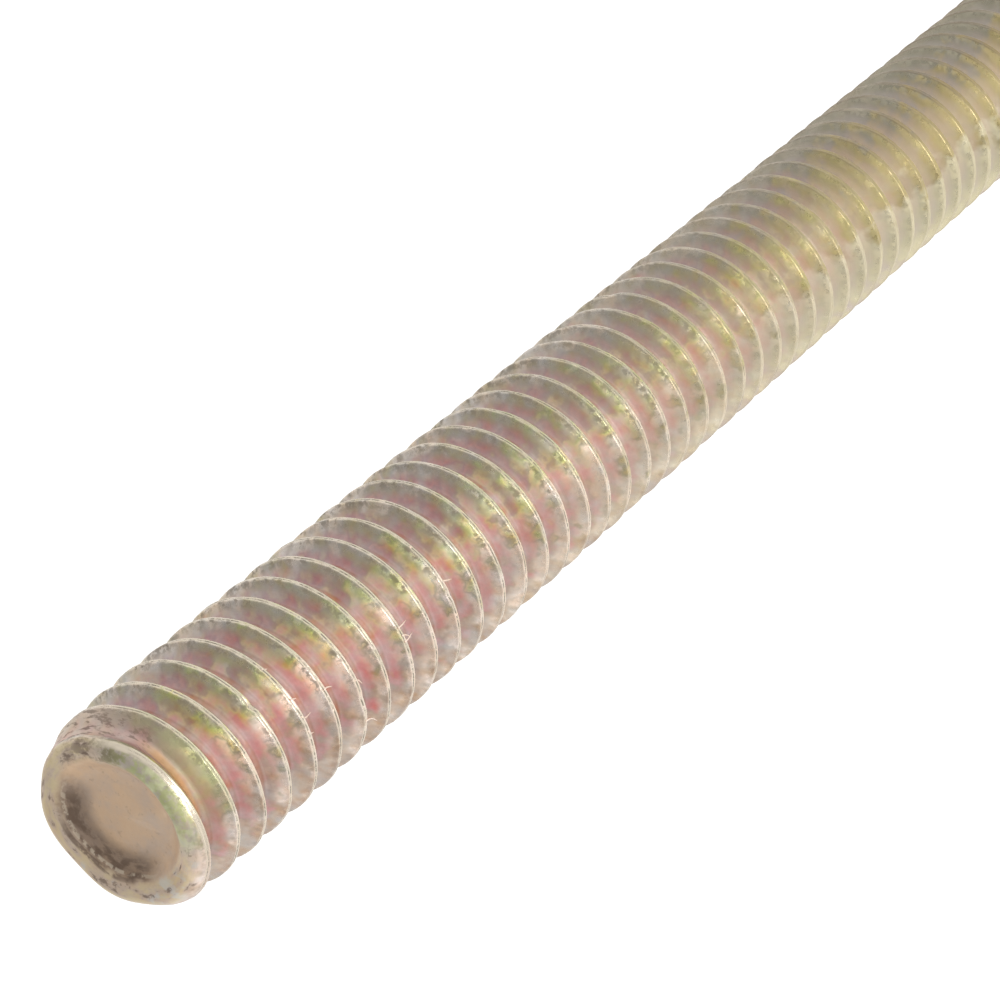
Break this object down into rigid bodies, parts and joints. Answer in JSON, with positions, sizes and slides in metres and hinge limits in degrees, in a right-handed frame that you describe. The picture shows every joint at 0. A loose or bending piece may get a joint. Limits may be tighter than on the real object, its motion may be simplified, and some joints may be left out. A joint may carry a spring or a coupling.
{
  "type": "threaded rod",
  "caption": "Fully threaded steel rod with a right-hand rolled thread and a shallow hollow in each end, finished in yellow zinc.",
  "frame": {"origin": "middle of the lower end, on the plane that the rod stands on", "axes": "+Z along the rod's axis, from the lower end to the upper end"},
  "size_m": [0.0064, 0.0064, 0.0762],
  "materials": {
    "yellow_zinc": "satin steel under a yellow, pink and green chromate film"
  },
  "bodies": {
    "root": {"threaded_rod": "yellow_zinc"}
  },
  "joints": []
}
